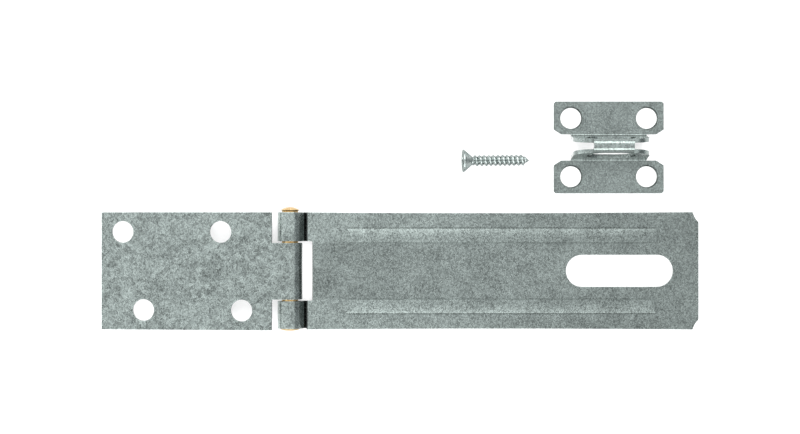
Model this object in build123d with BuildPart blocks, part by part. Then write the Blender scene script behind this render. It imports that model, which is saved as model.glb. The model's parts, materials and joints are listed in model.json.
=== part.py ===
from build123d import *
import os
from math import asin, atan, cos, degrees, hypot, radians, sin, tan

# Hasp and staple: a hinged, slotted strap that closes over a staple and takes a padlock.
#
# The pieces lie as they are unpacked. The hinge is open flat, resting on its barrel and on the far ends of
# both leaves. The staple stands on its feet beside the strap, and the fixing screw lies on its side.
# +X runs along the strap, away from the hinge, and +Z is up. The origin is on the ground under the middle of
# the whole layout. Lengths are millimetres and angles are degrees.

# Sheet and rolled knuckles
sheet = 1.2
barrel_radius = 3.8
curl_angle = 240
curl_tail = 2.2
knuckle_gap = 0.5
edge_break = 0.15

# Base leaf: lengths run from the pin axis
leaf_length = 58.2
leaf_width = 36.1
tongue_width = 17.3
notch_end = 5.05
leaf_row_y = 12.0
near_hole_x = 14.4
stagger = 6.5
hole_pitch = 30.6
leaf_hole_radius = 3.3
leaf_sink_radius = 3.75

# Strap: lengths run from the pin axis
strap_length = 125.7
strap_width = 36.2
waist_width = 35.6
window_end = 6.8
window_corner = 0.4
bite_length = 1.8
bite_width = 3.1
bite_sag = 0.2
slot_centre = 101.3
slot_length = 33.0
slot_width = 9.8
closed_gap = 0.1
joggle_end = 5.5
joggle_turn = 0.8
knuckle_inset = 0.5

# Stiffening ribs pressed into the strap
rib_start = 16.2
rib_stop = 113.7
rib_outer_y = 13.15
rib_width = 4.5
rib_height = 0.5
rib_outer_height = 0.2
rib_step = 0.12
rib_ramp = 2.7
rib_sheet = 0.5

# Hinge pin
pin_clearance = 0.08
head_radius = 2.75
head_gap = 0.2
head_under = 0.35
head_rim = 0.75
head_height = 1.6
peen_radius = 2.95
peen_rim = 0.25
peen_height = 0.8

# Staple
staple_width = 33.9
staple_depth = 28.3
foot_inner_y = 4.05
foot_chamfer_x = 2.3
foot_chamfer_y = 1.45
foot_corner = 0.6
loop_width = 23.3
loop_height = 17.5
loop_base = 7.33
loop_top = 3.4
bridge_width = 12.2
shoulder_height = 13.6
shoulder_radius = 5.5
top_bend = 1.25
root_bend = 0.4
eye_width = 14.8
eye_height = 10.5
eye_middle = 8.7
staple_hole_x = 23.35
staple_hole_y = 18.0
staple_hole_radius = 3.2
staple_sink_radius = 3.6

# Fixing screw
screw_length = 20.7
screw_head_radius = 3.5
screw_head_rim = 0.3
sink_half_angle = 41
core_radius = 1.15
thread_radius = 1.7
thread_pitch = 1.43
thread_turns = 11
crest_flat = 0.12
recess_span = 4.2
recess_arm = 0.95
recess_depth = 1.9
recess_draft = 8
recess_turn = 25

# Where the loose pieces lie
staple_from_pin = 98.0
staple_from_hasp = 38.0
screw_from_pin = 53.0
screw_from_hasp = 33.8
screw_turn = 0.7

# Worked out from the sizes above
pin_radius = barrel_radius - sheet - pin_clearance
joggle = sheet + closed_gap
mid_radius = barrel_radius - sheet / 2
leaf_reach = hypot(leaf_length, barrel_radius - sheet)
leaf_tilt = degrees(atan((barrel_radius - sheet) / leaf_length) + asin(barrel_radius / leaf_reach))
strap_tilt = degrees(asin(joggle / strap_length))
leaf_span = leaf_length * cos(radians(leaf_tilt)) + barrel_radius * sin(radians(leaf_tilt))
hinge_x = (leaf_span - strap_length) / 2
half_strap = strap_width / 2
pin_end = half_strap - knuckle_inset + peen_height
layout_y = staple_depth / 2 + staple_from_hasp + pin_end
hasp_y = pin_end - layout_y / 2
staple_x = hinge_x + staple_from_pin
staple_y = hasp_y + staple_from_hasp
clear_of_barrel = barrel_radius + 2
loop_lean = atan((loop_base - loop_top) / 2 / (loop_height - sheet))
wall_middle = loop_base / 2 - sheet / 2 / cos(loop_lean)
wall_root = wall_middle + sheet / 2 * tan(loop_lean)
wall_top = wall_middle - (loop_height - 1.5 * sheet) * tan(loop_lean)
screw_sink = (screw_head_radius - core_radius) / tan(radians(sink_half_angle))
thread_start = screw_head_rim + screw_sink
last_crest = thread_start + (thread_turns - 0.5) * thread_pitch + crest_flat
screw_tilt = atan((screw_head_radius - thread_radius) / (last_crest - screw_head_rim))
screw_z = screw_head_radius * cos(screw_tilt) + screw_head_rim * sin(screw_tilt)
leaf_holes = (
    (near_hole_x, -leaf_row_y),
    (near_hole_x + stagger, leaf_row_y),
    (near_hole_x + hole_pitch, -leaf_row_y),
    (near_hole_x + stagger + hole_pitch, leaf_row_y),
)


def hinge_frame(swing):
    """Frame on the pin: X along a leaf, Y along the pin, Z to the side that the leaf's knuckle stands on."""
    return Plane(origin=(hinge_x, hasp_y, barrel_radius)).rotated((0, swing, 0))


def side_of(frame):
    """Side view of a frame, with the frame's X across and its Z up."""
    return Plane(origin=frame.origin, x_dir=frame.x_dir, z_dir=-frame.y_dir)


def end_of(frame, distance):
    """View along a frame's X from a point on it, with the frame's Y across and its Z up."""
    return Plane(origin=frame.origin + frame.x_dir * distance, x_dir=frame.y_dir, z_dir=frame.x_dir)


leaf_frame = hinge_frame(180 - leaf_tilt)
strap_frame = hinge_frame(strap_tilt)
staple_frame = Plane((staple_x, staple_y, 0))
screw_middle = Plane((hinge_x + screw_from_pin, hasp_y + screw_from_hasp, screw_z))
screw_frame = screw_middle.rotated((0, degrees(screw_tilt), screw_turn))
screw_points = [(0, 0), (0, screw_head_radius), (screw_head_rim, screw_head_radius)]
for turn in range(thread_turns):
    root = thread_start + turn * thread_pitch
    crest = root + thread_pitch / 2
    screw_points += [(root, core_radius), (crest - crest_flat, thread_radius), (crest + crest_flat, thread_radius)]
screw_points += [(thread_start + thread_turns * thread_pitch, core_radius), (screw_length, 0)]


def rolled_profile(frame, length, step):
    """Side section of a sheet rolled round the pin, with its flat lifted by step beside the barrel."""
    curl_end = 270 - curl_angle
    roll_stop = Vector(mid_radius, 0).rotate(Axis.Z, curl_end)
    tail_end = roll_stop + Vector(0, -curl_tail).rotate(Axis.Z, curl_end)
    with BuildSketch(side_of(frame)) as section:
        with BuildLine():
            Line(tail_end, roll_stop)
            CenterArc((0, 0), mid_radius, curl_end, curl_angle)
            if step:
                turn_point = (joggle_turn * joggle_end, joggle_turn * step - mid_radius)
                bend = TangentArc((0, -mid_radius), turn_point, tangent=(1, 0))
                TangentArc(bend @ 1, (joggle_end, step - mid_radius), tangent=bend % 1)
                Line((joggle_end, step - mid_radius), (length, step - mid_radius))
            else:
                Line((0, -mid_radius), (length, -mid_radius))
        trace(line_width=sheet)
    return section.sketch


def strap_outline():
    """Plan of the strap: waisted sides and bitten far corners, running on past the barrel."""
    bite_x = strap_length - bite_length
    bite_y = half_strap - bite_width
    bite_middle = (bite_x + bite_length / 2 - bite_sag, bite_y + bite_width / 2 - bite_sag)
    with BuildSketch(strap_frame) as outline:
        with BuildLine():
            hinge_corner = (-clear_of_barrel, half_strap)
            Line((-clear_of_barrel, 0), hinge_corner)
            ThreePointArc(hinge_corner, (strap_length / 2, waist_width / 2), (bite_x, half_strap))
            ThreePointArc((bite_x, half_strap), bite_middle, (strap_length, bite_y))
            Line((strap_length, bite_y), (strap_length, 0))
            mirror(about=Plane.XZ)
        make_face()
    return outline.sketch


def strap_openings():
    """Plan of the openings in the strap: the window between its knuckles, and the staple slot."""
    window_length = window_end + clear_of_barrel
    with BuildSketch(strap_frame) as openings:
        with Locations((window_end - window_length / 2, 0)):
            RectangleRounded(window_length, tongue_width + 2 * knuckle_gap, window_corner)
        with Locations((slot_centre, 0)):
            SlotOverall(slot_length, slot_width)
    return openings.sketch


def rib(side, base_height, inset):
    """A long bead on one side of the strap, drawn in by inset all round and curving down to its outer edge."""
    inner_y = rib_outer_y - rib_width + inset
    outer_y = rib_outer_y - inset
    start = rib_start + inset
    stop = rib_stop - inset
    with BuildPart() as bead:
        with BuildSketch(end_of(strap_frame, start)):
            with BuildLine():
                top = (side * (inner_y + rib_step), base_height + rib_height)
                crest = (side * (outer_y - rib_step), base_height + rib_outer_height)
                TangentArc(top, crest, tangent=(side, 0))
                Polyline(crest, (side * outer_y, base_height), (side * inner_y, base_height), top)
            make_face()
        extrude(amount=stop - start)
        with BuildSketch(side_of(strap_frame)):
            Polygon(
                (start, base_height),
                (start + rib_ramp, base_height + rib_height),
                (stop - rib_ramp, base_height + rib_height),
                (stop, base_height),
                align=None,
            )
        extrude(amount=strap_width, both=True, mode=Mode.INTERSECT)
        with BuildSketch(strap_frame.offset(base_height)):
            with Locations(((start + stop) / 2, side * (inner_y + outer_y) / 2)):
                SlotOverall(stop - start, outer_y - inner_y)
        extrude(amount=rib_height, mode=Mode.INTERSECT)
    return bead.part


def staple_outline():
    """Plan of the staple: two feet with chamfered corners, joined under the loop."""
    half = staple_width / 2
    far = staple_depth / 2
    with BuildSketch(staple_frame) as outline:
        Rectangle(loop_width, 2 * foot_inner_y)
        for side in (1, -1):
            Polygon(
                (-half + foot_corner, side * far),
                (half - foot_corner, side * far),
                (half, side * (far - foot_corner)),
                (half, side * (foot_inner_y + foot_chamfer_y)),
                (half - foot_chamfer_x, side * foot_inner_y),
                (-half + foot_chamfer_x, side * foot_inner_y),
                (-half, side * (foot_inner_y + foot_chamfer_y)),
                (-half, side * (far - foot_corner)),
                align=None,
            )
    return outline.sketch


# Base leaf, lying with its back face up
with BuildPart() as base_leaf:
    extrude(rolled_profile(leaf_frame, leaf_length, 0), amount=leaf_width / 2, both=True)
    notch_length = notch_end + clear_of_barrel
    notch_width = (leaf_width - tongue_width) / 2
    notch_y = (tongue_width + notch_width) / 2
    with BuildSketch(leaf_frame):
        with Locations((notch_end - notch_length / 2, notch_y), (notch_end - notch_length / 2, -notch_y)):
            Rectangle(notch_length, notch_width)
    extrude(amount=clear_of_barrel, both=True, mode=Mode.SUBTRACT)
    with Locations(leaf_frame.offset(sheet - barrel_radius)):
        with Locations(*leaf_holes):
            CounterSinkHole(leaf_hole_radius, leaf_sink_radius, depth=2 * sheet)
    fillet(base_leaf.edges(), edge_break)

# Hasp strap, with its show face up
with BuildPart() as hasp_strap:
    extrude(rolled_profile(strap_frame, strap_length, joggle), amount=strap_width, both=True)
    extrude(strap_outline(), amount=clear_of_barrel, both=True, mode=Mode.INTERSECT)
    extrude(strap_openings(), amount=clear_of_barrel, both=True, mode=Mode.SUBTRACT)
    with BuildSketch(strap_frame):
        with Locations((0, -half_strap)):
            Rectangle(2 * notch_end, 2 * knuckle_inset)
    extrude(amount=clear_of_barrel, both=True, mode=Mode.SUBTRACT)
    fillet(hasp_strap.edges(), edge_break)
    for side in (1, -1):
        add(rib(side, joggle - barrel_radius + sheet, 0))
        add(rib(side, joggle - barrel_radius, rib_sheet), mode=Mode.SUBTRACT)

# Hinge pin, headed at the +Y end and peened over at the other
with BuildPart() as hinge_pin:
    with BuildSketch(Plane(origin=(hinge_x, hasp_y, barrel_radius))):
        with BuildLine():
            Line((0, -pin_end), (0, half_strap + head_height))
            TangentArc((0, half_strap + head_height), (head_radius, half_strap + head_rim), tangent=(1, 0))
            Polyline(
                (head_radius, half_strap + head_rim),
                (head_radius, half_strap + head_gap + head_under),
                (head_radius - head_under, half_strap + head_gap),
                (pin_radius, half_strap + head_gap),
                (pin_radius, knuckle_inset - half_strap),
                (peen_radius, knuckle_inset - half_strap),
                (peen_radius, peen_height - peen_rim - pin_end),
            )
            TangentArc((0, -pin_end), (peen_radius, peen_height - peen_rim - pin_end), tangent=(1, 0))
        make_face()
    revolve(axis=Axis((hinge_x, hasp_y, barrel_radius), (0, 1, 0)))

# Staple, standing on its feet
with BuildPart() as staple:
    with BuildSketch(end_of(staple_frame, 0)):
        with BuildLine():
            FilletPolyline(
                (-staple_depth / 2, sheet / 2),
                (-wall_root, sheet / 2),
                (-wall_top, loop_height - sheet / 2),
                (wall_top, loop_height - sheet / 2),
                (wall_root, sheet / 2),
                (staple_depth / 2, sheet / 2),
                radius=[root_bend + sheet / 2, top_bend - sheet / 2, top_bend - sheet / 2, root_bend + sheet / 2],
            )
        trace(line_width=sheet)
    extrude(amount=staple_width / 2, both=True)
    extrude(staple_outline(), amount=loop_height, mode=Mode.INTERSECT)
    with BuildSketch(side_of(staple_frame)):
        with Locations((0, loop_height)):
            Rectangle(2 * staple_width, 2 * (loop_height - sheet))
            Rectangle(bridge_width, 2 * loop_height, mode=Mode.SUBTRACT)
        RectangleRounded(loop_width, 2 * shoulder_height, shoulder_radius, mode=Mode.SUBTRACT)
        with Locations((0, eye_middle)):
            SlotOverall(eye_width, eye_height)
    extrude(amount=staple_depth, both=True, mode=Mode.SUBTRACT)
    with Locations(staple_frame.offset(sheet)):
        with GridLocations(staple_hole_x, staple_hole_y, 2, 2):
            CounterSinkHole(staple_hole_radius, staple_sink_radius, depth=2 * sheet)

# Fixing screw, lying on the rim of its head and on its last thread
with BuildPart() as wood_screw:
    with BuildSketch(side_of(screw_frame)):
        with BuildLine():
            Polyline(*screw_points, close=True)
        make_face()
    revolve(axis=Axis(screw_frame.origin, screw_frame.x_dir))
    with BuildSketch(end_of(screw_frame, 0)):
        Rectangle(recess_span, recess_arm, rotation=recess_turn)
        Rectangle(recess_arm, recess_span, rotation=recess_turn)
    extrude(amount=recess_depth, taper=recess_draft, mode=Mode.SUBTRACT)

pieces = {
    "base_leaf": base_leaf,
    "hasp_strap": hasp_strap,
    "hinge_pin": hinge_pin,
    "staple": staple,
    "wood_screw": wood_screw,
}
os.makedirs("parts", exist_ok=True)
for name, piece in pieces.items():
    piece.part.label = name
    export_step(piece.part, f"parts/{name}.step")
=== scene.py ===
import json
import math

import bmesh
import bpy
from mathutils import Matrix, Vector


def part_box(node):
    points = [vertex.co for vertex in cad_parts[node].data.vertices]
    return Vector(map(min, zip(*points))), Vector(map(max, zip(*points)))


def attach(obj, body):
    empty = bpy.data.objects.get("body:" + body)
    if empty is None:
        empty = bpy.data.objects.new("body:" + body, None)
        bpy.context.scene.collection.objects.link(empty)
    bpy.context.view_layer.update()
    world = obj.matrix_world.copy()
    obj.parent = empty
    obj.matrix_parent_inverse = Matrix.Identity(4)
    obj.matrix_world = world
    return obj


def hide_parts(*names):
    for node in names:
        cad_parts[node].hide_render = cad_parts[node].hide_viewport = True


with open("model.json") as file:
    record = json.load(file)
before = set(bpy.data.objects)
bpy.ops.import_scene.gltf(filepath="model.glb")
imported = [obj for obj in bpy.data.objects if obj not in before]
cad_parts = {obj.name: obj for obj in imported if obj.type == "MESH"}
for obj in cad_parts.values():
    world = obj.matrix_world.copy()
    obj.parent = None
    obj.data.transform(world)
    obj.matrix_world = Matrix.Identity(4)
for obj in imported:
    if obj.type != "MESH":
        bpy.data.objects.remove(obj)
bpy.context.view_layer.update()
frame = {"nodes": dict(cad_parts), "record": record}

MM = 0.001
scene = bpy.context.scene
record = frame["record"]
nodes = frame["nodes"]
mounts = {mount["name"]: mount for mount in record["mounts"]}
joints = {joint["name"]: joint for joint in record["behaviour"]["joints"]}


# Camera, floor and light

CAMERA_HEIGHT = 0.595
CAMERA_LENS = 86.76
CAMERA_SENSOR = 36
CAMERA_FROM_PIN = (33.717 * MM, 16.575 * MM)

# The lamps are laid out evenly about a line at this Y, and the overhead ones are centred on this X.
LIGHT_LINE_X = -0.83
LIGHT_LINE_Y = -0.045
LIGHT_HEIGHT = 0.9
LIGHT_LENGTH = 3.54
CEILING_WIDTH = 0.64
CEILING_RADIANCE = 0.9
SOFTBOX_WIDTH = 1.96
SOFTBOX_OFFSET = 1.3
SOFTBOX_RADIANCE = 4.2
LEFT_SOFTBOX_PLACE = (-2.6, LIGHT_LINE_Y, 0.45)
LEFT_SOFTBOX_SIZE = (3.4, 0.9)
LEFT_SOFTBOX_RADIANCE = 1.6
ROOM_COLOUR = (0.93, 0.97, 1)
ROOM_RADIANCE = 0.6

FLOOR_REACH = 4.0
FLOOR_GREY = (0.45, 0.45, 0.45)
FLOOR_ROUGHNESS = 0.7
FLOOR_GLOW = 0.55


def add_camera():
    """A long lens straight above the layout, with +Y up the picture, placed from the hinge pin."""
    data = bpy.data.cameras.new("camera")
    data.sensor_width = CAMERA_SENSOR
    data.lens = CAMERA_LENS
    camera = bpy.data.objects.new("camera", data)
    pin = Vector(joints["strap_hinge"]["pos_m"])
    camera.location = (pin.x + CAMERA_FROM_PIN[0], pin.y + CAMERA_FROM_PIN[1], CAMERA_HEIGHT)
    scene.collection.objects.link(camera)
    scene.camera = camera


def add_light(name, middle, size, facing, radiance):
    """A flat, evenly lit panel with its middle at a point, that shines the way it faces."""
    data = bpy.data.lights.new(name, "AREA")
    data.shape = "RECTANGLE"
    data.size, data.size_y = size
    data.energy = radiance * math.pi * data.size * data.size_y
    light = bpy.data.objects.new(name, data)
    light.location = middle
    light.rotation_euler = Vector(facing).to_track_quat("-Z", "Y").to_euler()
    light.visible_camera = False
    scene.collection.objects.link(light)


def add_room():
    """The dim room round the lights."""
    world = bpy.data.worlds.new("room")
    world.use_nodes = True
    background = world.node_tree.nodes["Background"]
    background.inputs["Color"].default_value = (*ROOM_COLOUR, 1)
    background.inputs["Strength"].default_value = ROOM_RADIANCE
    scene.world = world


def add_floor():
    """A plain pale table top."""
    mesh = bpy.data.meshes.new("floor")
    reach = FLOOR_REACH
    corners = [(-reach, -reach, 0), (reach, -reach, 0), (reach, reach, 0), (-reach, reach, 0)]
    mesh.from_pydata(corners, [], [(0, 1, 2, 3)])
    floor = bpy.data.objects.new("floor", mesh)
    scene.collection.objects.link(floor)
    material, shader, _ = new_material("floor_paint")
    shader.inputs["Base Color"].default_value = (*FLOOR_GREY, 1)
    shader.inputs["Roughness"].default_value = FLOOR_ROUGHNESS
    shader.inputs["Emission Color"].default_value = (1, 1, 1, 1)
    shader.inputs["Emission Strength"].default_value = FLOOR_GLOW
    mesh.materials.append(material)


# Materials

def new_material(name):
    """A material, its shader, and a function that adds a node with the given settings to it."""
    material = bpy.data.materials.new(name)
    material.use_nodes = True
    tree = material.node_tree
    shader = tree.nodes["Principled BSDF"]

    def node(kind, inputs=None, **settings):
        made = tree.nodes.new(kind)
        for key, value in settings.items():
            setattr(made, key, value)
        for key, value in (inputs or {}).items():
            if isinstance(value, bpy.types.NodeSocket):
                tree.links.new(value, made.inputs[key])
            else:
                made.inputs[key].default_value = value
        return made

    return material, shader, node


def link(source, target):
    """Joins an output socket to an input socket of the same material."""
    target.id_data.links.new(source, target)


def millimetres(node):
    """The piece's own coordinates, in millimetres."""
    where = node("ShaderNodeTexCoord").outputs["Object"]
    return node("ShaderNodeMapping", {"Vector": where, "Scale": (1 / MM, 1 / MM, 1 / MM)}).outputs[0]


def ramp(node, value, *stops):
    """Colours along a value: each stop is a place and a colour."""
    made = node("ShaderNodeValToRGB", {"Fac": value})
    elements = made.color_ramp.elements
    while len(elements) > len(stops):
        elements.remove(elements[-1])
    while len(elements) < len(stops):
        elements.new(1)
    for element, (place, colour) in zip(elements, stops):
        element.position = place
        element.color = (*colour, 1)
    return made.outputs["Color"]


def slope(node, value, start, stop, low, high):
    """Goes from low to high as a value goes from start to stop, and stays level past both."""
    inputs = {"Value": value, "From Min": start, "From Max": stop, "To Min": low, "To Max": high}
    return node("ShaderNodeMapRange", inputs).outputs["Result"]


def spread(node, value, low, high):
    """Stretches a 0 to 1 value over low to high."""
    return slope(node, value, 0.0, 1.0, low, high)


def maths(node, operation, one, two=None):
    """One value worked out from one or two others."""
    inputs = {0: one} if two is None else {0: one, 1: two}
    return node("ShaderNodeMath", inputs, operation=operation).outputs[0]


def away_from(node, value, place):
    """How far a value is from a place, either way."""
    return maths(node, "ABSOLUTE", maths(node, "SUBTRACT", value, place))


def weighted(node, *terms):
    """The sum of values, each times its weight."""
    total = None
    for value, weight in terms:
        part = maths(node, "MULTIPLY", value, weight)
        total = part if total is None else maths(node, "ADD", total, part)
    return total


def noise(node, place, scale, detail, roughness=0.5):
    """Cloudy noise: its value and its colour."""
    inputs = {"Vector": place, "Scale": scale, "Detail": detail, "Roughness": roughness}
    made = node("ShaderNodeTexNoise", inputs)
    return made.outputs["Fac"], made.outputs["Color"]


def cells(node, place, scale, channel):
    """Flat random cells: one channel of their colours."""
    colours = node("ShaderNodeTexVoronoi", {"Vector": place, "Scale": scale}).outputs["Color"]
    return node("ShaderNodeSeparateColor", {"Color": colours}).outputs[channel]


def blend(node, mode, amount, one, two):
    """Two colours or positions put together."""
    inputs = {"Fac": amount, "Color1": one, "Color2": two}
    return node("ShaderNodeMixRGB", inputs, blend_type=mode).outputs[0]


def finish_metal(shader, node, colour, roughness, relief, strength, depth):
    """Joins a metal's colour, roughness and relief to its shader."""
    link(colour, shader.inputs["Base Color"])
    link(roughness, shader.inputs["Roughness"])
    shader.inputs["Metallic"].default_value = 1
    bump = node("ShaderNodeBump", {"Height": relief, "Strength": strength, "Distance": depth})
    link(bump.outputs["Normal"], shader.inputs["Normal"])


def shade(colour, factor):
    """A colour made lighter or darker."""
    return tuple(channel * factor for channel in colour)


# The zinc's pattern: scales are in cells to the millimetre, and the shares add up to one with the spangle
WARP_SCALE = 0.9
WARP_AMOUNT = 0.35
CRYSTAL_SCALE = 0.7
FLAKE_SCALE = 3.2
GRAIN_SCALE = 4.4
CLOUD_SCALE = 0.16
FLAKE_SHARE = 0.22
GRAIN_SHARE = 0.55
CLOUD_SHARE = 0.23
TONE_SPREAD = 0.22
ZINC_RELIEF = 0.03 * MM


def galvanised(name, colour, contrast, spangle, roughness, painted_light_and_shade=None):
    """Zinc-coated sheet: small matt crystals, a fine bright and dark grain, and slow clouds over them.

    The spangle is the crystals' share of the pattern, and painted light and shade, where given, darkens or
    lightens places on the piece.
    """
    material, shader, node = new_material(name)
    place = millimetres(node)
    _, warp = noise(node, place, WARP_SCALE, 2.0)
    bent = blend(node, "ADD", WARP_AMOUNT, place, warp)
    crystal = cells(node, bent, CRYSTAL_SCALE, "Red")
    flake = cells(node, bent, FLAKE_SCALE, "Green")
    grain, _ = noise(node, place, GRAIN_SCALE, 4.0, 0.8)
    clouds, _ = noise(node, place, CLOUD_SCALE, 3.0)
    tone = weighted(
        node,
        (crystal, spangle),
        (flake, FLAKE_SHARE),
        (grain, GRAIN_SHARE - spangle / 2),
        (clouds, CLOUD_SHARE - spangle / 2),
    )
    zinc = ramp(
        node,
        tone,
        (0.5 - TONE_SPREAD, shade(colour, 1 - contrast)),
        (0.5, colour),
        (0.5 + TONE_SPREAD, shade(colour, 1 + contrast)),
    )
    if painted_light_and_shade:
        # Painted light and shade is multiplied into the zinc here.
        zinc = blend(node, "MULTIPLY", 1.0, zinc, painted_light_and_shade(node, place))
    relief = weighted(node, (flake, 0.4), (grain, 0.6))
    finish_metal(shader, node, zinc, spread(node, flake, *roughness), relief, 0.8, ZINC_RELIEF)
    return material


# Places on the strap, in millimetres from the pin's axis and from the strap's middle line, where light and
# shade are painted into its zinc. A shade is what the zinc's brightness is multiplied by there, and each
# crease is a place and its painted shade.
PANEL_EDGE = (8.3, 9.2)
PANEL_PAINTED_SHADE = 0.78
FAR_END = 105
NEAR_SHADE = 1.02
FAR_SHADE = 0.7
RIB_CREASE_PAINTED_SHADE = ((8.58, 0.85), (13.22, 0.62))
RIB_SPAN = (16.2, 113.7)
RIB_END_FADE = (2.5, 1)
CREASE_HALF_WIDTH = (0.06, 0.22)
OUTER_BEND = (-2.8, -2.3)
BEND_PAINTED_LIGHT = 1.9
GROOVE_MIDDLE = 4.8
GROOVE_HALF_WIDTH = (0.4, 0.65)
GROOVE_PAINTED_SHADOW = 0.12
# Above these heights the staple's zinc gets painted light, brighter by this factor.
LOOP_HEIGHT = (1.5, 3.0)
LOOP_PAINTED_LIGHT = 1.18


def strap_painted_shading(node, place):
    """The strap's zinc is painted darker between its ribs as shade, and is darker towards its far end.

    Painted shade lies along the ribs' outlines and a painted shadow in the groove beside the knuckles,
    whose outer bend gets a painted highlight.
    """
    pin = Vector(joints["strap_hinge"]["pos_m"]) / MM
    spot = node("ShaderNodeSeparateXYZ", {"Vector": place})
    off_middle = away_from(node, spot.outputs["Y"], pin.y)
    from_pin = maths(node, "SUBTRACT", spot.outputs["X"], pin.x)
    # Painted shade: the panel between the ribs is darker; the strap also darkens towards its far end.
    panel = slope(node, off_middle, *PANEL_EDGE, PANEL_PAINTED_SHADE, 1.0)
    along = slope(node, from_pin, 0, FAR_END, NEAR_SHADE, FAR_SHADE)
    zinc = maths(node, "MINIMUM", along, panel)
    half = (RIB_SPAN[1] - RIB_SPAN[0]) / 2
    off_centre = away_from(node, from_pin, sum(RIB_SPAN) / 2)
    past_end = slope(node, off_centre, half - RIB_END_FADE[0], half - RIB_END_FADE[1], 0.0, 1.0)
    # Painted shade along the ribs' outlines, fading out past the ribs' ends.
    for crease, depth in RIB_CREASE_PAINTED_SHADE:
        gap = away_from(node, off_middle, crease)
        crease_painted_shade = slope(node, gap, *CREASE_HALF_WIDTH, depth, 1.0)
        zinc = maths(node, "MULTIPLY", zinc, maths(node, "MAXIMUM", crease_painted_shade, past_end))
    # Painted highlight on the knuckles' outer bend, left of the pin.
    bend = slope(node, from_pin, *OUTER_BEND, BEND_PAINTED_LIGHT, 1.0)
    # Painted shadow in the groove where the knuckles' curl meets the strap.
    gap = away_from(node, from_pin, GROOVE_MIDDLE)
    groove_painted_shadow = slope(node, gap, *GROOVE_HALF_WIDTH, GROOVE_PAINTED_SHADOW, 1.0)
    return maths(node, "MULTIPLY", maths(node, "MULTIPLY", zinc, bend), groove_painted_shadow)


def loop_painted_light(node, place):
    """The staple's zinc gets painted light: it is brighter on the loop, above the plate."""
    height = node("ShaderNodeSeparateXYZ", {"Vector": place}).outputs["Z"]
    return slope(node, height, *LOOP_HEIGHT, 1.0, LOOP_PAINTED_LIGHT)


BRASS_DARK = (0.36, 0.22, 0.08)
BRASS_LIGHT = (0.58, 0.43, 0.22)
DRAWN_STRETCH = (1, 0.08, 1)
PLATE_DARK = (0.17, 0.2, 0.195)
PLATE_LIGHT = (0.36, 0.39, 0.38)
PLATE_EDGE_TINT = (0.4, 0.43, 0.42)


def brass():
    """Drawn brass rod: fine lines along the pin, slightly tarnished."""
    material, shader, node = new_material("brass_rod")
    place = millimetres(node)
    lines = node("ShaderNodeMapping", {"Vector": place, "Scale": DRAWN_STRETCH}).outputs[0]
    drawn, _ = noise(node, lines, 3.2, 3.0)
    stain, _ = noise(node, place, 0.9, 2.0)
    tone = weighted(node, (drawn, 0.5), (stain, 0.5))
    colour = ramp(node, tone, (0.35, BRASS_DARK), (0.6, BRASS_LIGHT))
    finish_metal(shader, node, colour, spread(node, stain, 0.2, 0.4), drawn, 0.5, 0.01 * MM)
    return material


def zinc_plate():
    """Bright zinc plate on the rolled screw."""
    material, shader, node = new_material("zinc_plate")
    mottle, _ = noise(node, millimetres(node), 1.6, 3.0)
    colour = ramp(node, mottle, (0.3, PLATE_DARK), (0.7, PLATE_LIGHT))
    shader.inputs["Specular Tint"].default_value = (*PLATE_EDGE_TINT, 1)
    finish_metal(shader, node, colour, spread(node, mottle, 0.16, 0.34), mottle, 0.4, 0.02 * MM)
    return material


def dress(name, material):
    """Gives a CAD node its material."""
    nodes[name].data.materials.clear()
    nodes[name].data.materials.append(material)


# The screw, with a true helical thread

HEAD_RIM = 0.3 * MM
SINK_ANGLE = math.radians(41)
CORE_RADIUS = 1.15 * MM
THREAD_RADIUS = 1.7 * MM
THREAD_PITCH = 1.43 * MM
THREAD_TURNS = 11
CREST_SHARE = 0.16
RECESS_SPAN = 4.2 * MM
RECESS_ARM = 0.95 * MM
RECESS_DEPTH = 1.9 * MM
RECESS_START = -0.2 * MM
RECESS_MOUTH = 1.03
RECESS_TAPER = 0.72
RECESS_TURN = math.radians(25)
THREAD_LEAD_IN = 0.5
AROUND = 72
STEPS_A_TURN = 20
STEPS_IN_CONE = 12
SCREW_SHARP_ANGLE = math.radians(35)


def screw_frame():
    """The screw's axis, the middle of its head's face, its length and its head's radius, from the frame."""
    low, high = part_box("wood_screw")
    axis = Vector(mounts["screw_thread"]["axis"])
    tip = Vector(mounts["screw_thread"]["pos_m"])
    head_radius = (high.y - low.y) / 2
    length = (high.x - low.x + axis.z * head_radius) / axis.x
    return axis, tip - axis * length, length, head_radius


def cone_end_of(head_radius):
    """Where the head's cone meets the core, from the face."""
    return HEAD_RIM + (head_radius - CORE_RADIUS) / math.tan(SINK_ANGLE)


def screw_radius(along, around, length, head_radius):
    """The screw's radius at a distance from its face and an angle round it."""
    cone_end = cone_end_of(head_radius)
    cone = head_radius - max(0, along - HEAD_RIM) * math.tan(SINK_ANGLE)
    thread_end = cone_end + THREAD_TURNS * THREAD_PITCH
    fade_in = min(1, max(0, (along - cone_end) / THREAD_PITCH + THREAD_LEAD_IN))
    fade_out = min(1, max(0, (length - along) / (length - thread_end)))
    phase = ((along - cone_end) / THREAD_PITCH - around / (2 * math.pi)) % 1
    ridge = min(1, (1 - abs(2 * phase - 1)) / (1 - CREST_SHARE))
    thread = CORE_RADIUS * fade_out + (THREAD_RADIUS - CORE_RADIUS) * ridge * min(fade_in, fade_out)
    return max(cone, thread)


def screw_stations(length, head_radius):
    """Distances from the face at which the screw's rings lie."""
    cone_end = cone_end_of(head_radius)
    stations = [0, HEAD_RIM]
    stations += [HEAD_RIM + (cone_end - HEAD_RIM) * k / STEPS_IN_CONE for k in range(1, STEPS_IN_CONE)]
    count = int((length - cone_end) / (THREAD_PITCH / STEPS_A_TURN))
    return stations + [cone_end + (length - cone_end) * k / count for k in range(count)]


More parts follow.
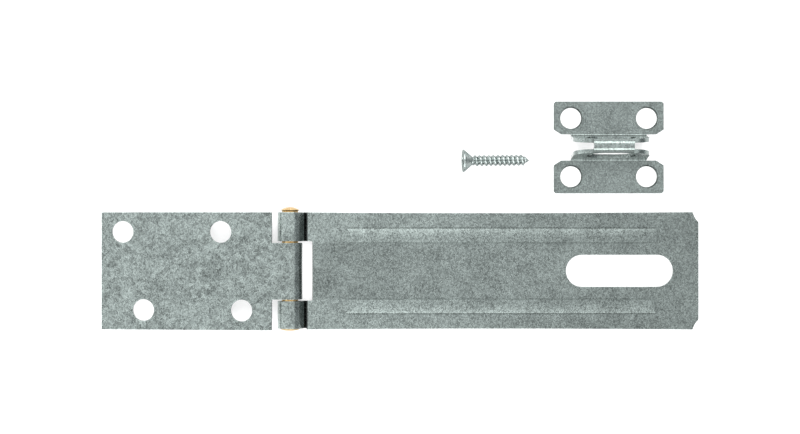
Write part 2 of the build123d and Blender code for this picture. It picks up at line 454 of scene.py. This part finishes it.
def screw_piece():
    """The screw: rings of vertices along its axis, closed at the head's face and at the point."""
    axis, face, length, head_radius = screw_frame()
    across = Vector((-axis.y, axis.x, 0)).normalized()
    up = axis.cross(across)
    bm = bmesh.new()
    rings = []
    for along in screw_stations(length, head_radius):
        ring = []
        for k in range(AROUND):
            angle = 2 * math.pi * k / AROUND
            radius = screw_radius(along, angle, length, head_radius)
            offset = across * math.cos(angle) + up * math.sin(angle)
            ring.append(bm.verts.new(face + axis * along + offset * radius))
        rings.append(ring)
    point = bm.verts.new(face + axis * length)
    for one, two in zip(rings, rings[1:]):
        for k in range(AROUND):
            bm.faces.new((one[k], one[k - 1], two[k - 1], two[k]))
    for k in range(AROUND):
        bm.faces.new((rings[-1][k], rings[-1][k - 1], point))
    bm.faces.new(rings[0])
    bmesh.ops.recalc_face_normals(bm, faces=bm.faces)
    screw = mesh_object("threaded_screw", bm)
    cut_recess(screw, axis, face, across, up)
    screw.data.shade_smooth()
    screw.data.set_sharp_from_angle(angle=SCREW_SHARP_ANGLE)
    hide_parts("wood_screw")
    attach(screw, "screw")
    return screw


def mesh_object(name, bm):
    """Makes an object from a bmesh."""
    mesh = bpy.data.meshes.new(name)
    bm.to_mesh(mesh)
    bm.free()
    piece = bpy.data.objects.new(name, mesh)
    scene.collection.objects.link(piece)
    return piece


def tapered_arm(bm, centre, axis, along, beside):
    """A box that narrows as it goes down an axis from just outside the face."""
    corners = []
    for depth, scale in ((RECESS_START, RECESS_MOUTH), (RECESS_DEPTH, RECESS_TAPER)):
        middle = centre + axis * depth
        span = along * (RECESS_SPAN / 2 * scale)
        width = beside * (RECESS_ARM / 2 * scale)
        for a, b in ((-1, -1), (1, -1), (1, 1), (-1, 1)):
            corners.append(bm.verts.new(middle + span * a + width * b))
    for quad in ((0, 1, 2, 3), (7, 6, 5, 4), (0, 4, 5, 1), (1, 5, 6, 2), (2, 6, 7, 3), (3, 7, 4, 0)):
        bm.faces.new([corners[k] for k in quad])


def cut_recess(screw, axis, face, across, up):
    """Cuts the cross recess into the head."""
    for turn in (RECESS_TURN, RECESS_TURN + math.pi / 2):
        along = across * math.cos(turn) + up * math.sin(turn)
        beside = axis.cross(along)
        bm = bmesh.new()
        tapered_arm(bm, face, axis, along, beside)
        bmesh.ops.recalc_face_normals(bm, faces=bm.faces)
        cutter = mesh_object("cutter", bm)
        cut = screw.modifiers.new("recess", "BOOLEAN")
        cut.operation = "DIFFERENCE"
        cut.solver = "EXACT"
        cut.object = cutter
        graph = bpy.context.evaluated_depsgraph_get()
        result = bpy.data.meshes.new_from_object(screw.evaluated_get(graph))
        screw.modifiers.clear()
        screw.data = result
        bpy.data.objects.remove(cutter)


add_camera()
add_room()
down = (0, 0, -1)
middle = (LIGHT_LINE_X, LIGHT_LINE_Y, LIGHT_HEIGHT)
add_light("ceiling", middle, (LIGHT_LENGTH, CEILING_WIDTH), down, CEILING_RADIANCE)
for side, name in ((1, "far"), (-1, "near")):
    middle = (LIGHT_LINE_X, side * SOFTBOX_OFFSET + LIGHT_LINE_Y, LIGHT_HEIGHT)
    add_light(name + "_softbox", middle, (LIGHT_LENGTH, SOFTBOX_WIDTH), down, SOFTBOX_RADIANCE)
add_light("left_softbox", LEFT_SOFTBOX_PLACE, LEFT_SOFTBOX_SIZE, (1, 0, 0), LEFT_SOFTBOX_RADIANCE)
add_floor()
scene.view_settings.view_transform = "Standard"

# One zinc colour for the three pieces, painted a little darker on the leaf as shade, and darker again on
# the staple.
LEAF_ZINC = (0.1845, 0.2115, 0.2025)
STRAP_ZINC = (0.1927, 0.2209, 0.2115)
STAPLE_ZINC = (0.1681, 0.1927, 0.1845)
SHEET_ROUGHNESS = (0.2, 0.3)
STAPLE_ROUGHNESS = (0.1, 0.18)
dress("base_leaf", galvanised("galvanised_leaf", LEAF_ZINC, 0.72, 0.14, SHEET_ROUGHNESS))
# The strap's and the staple's zinc get painted light and shade.
dress("hasp_strap", galvanised("galvanised_strap", STRAP_ZINC, 0.7, 0.05, SHEET_ROUGHNESS, strap_painted_shading))
dress("staple", galvanised("galvanised_staple", STAPLE_ZINC, 0.58, 0.05, STAPLE_ROUGHNESS, loop_painted_light))
dress("hinge_pin", brass())
screw = screw_piece()
screw.data.materials.append(zinc_plate())
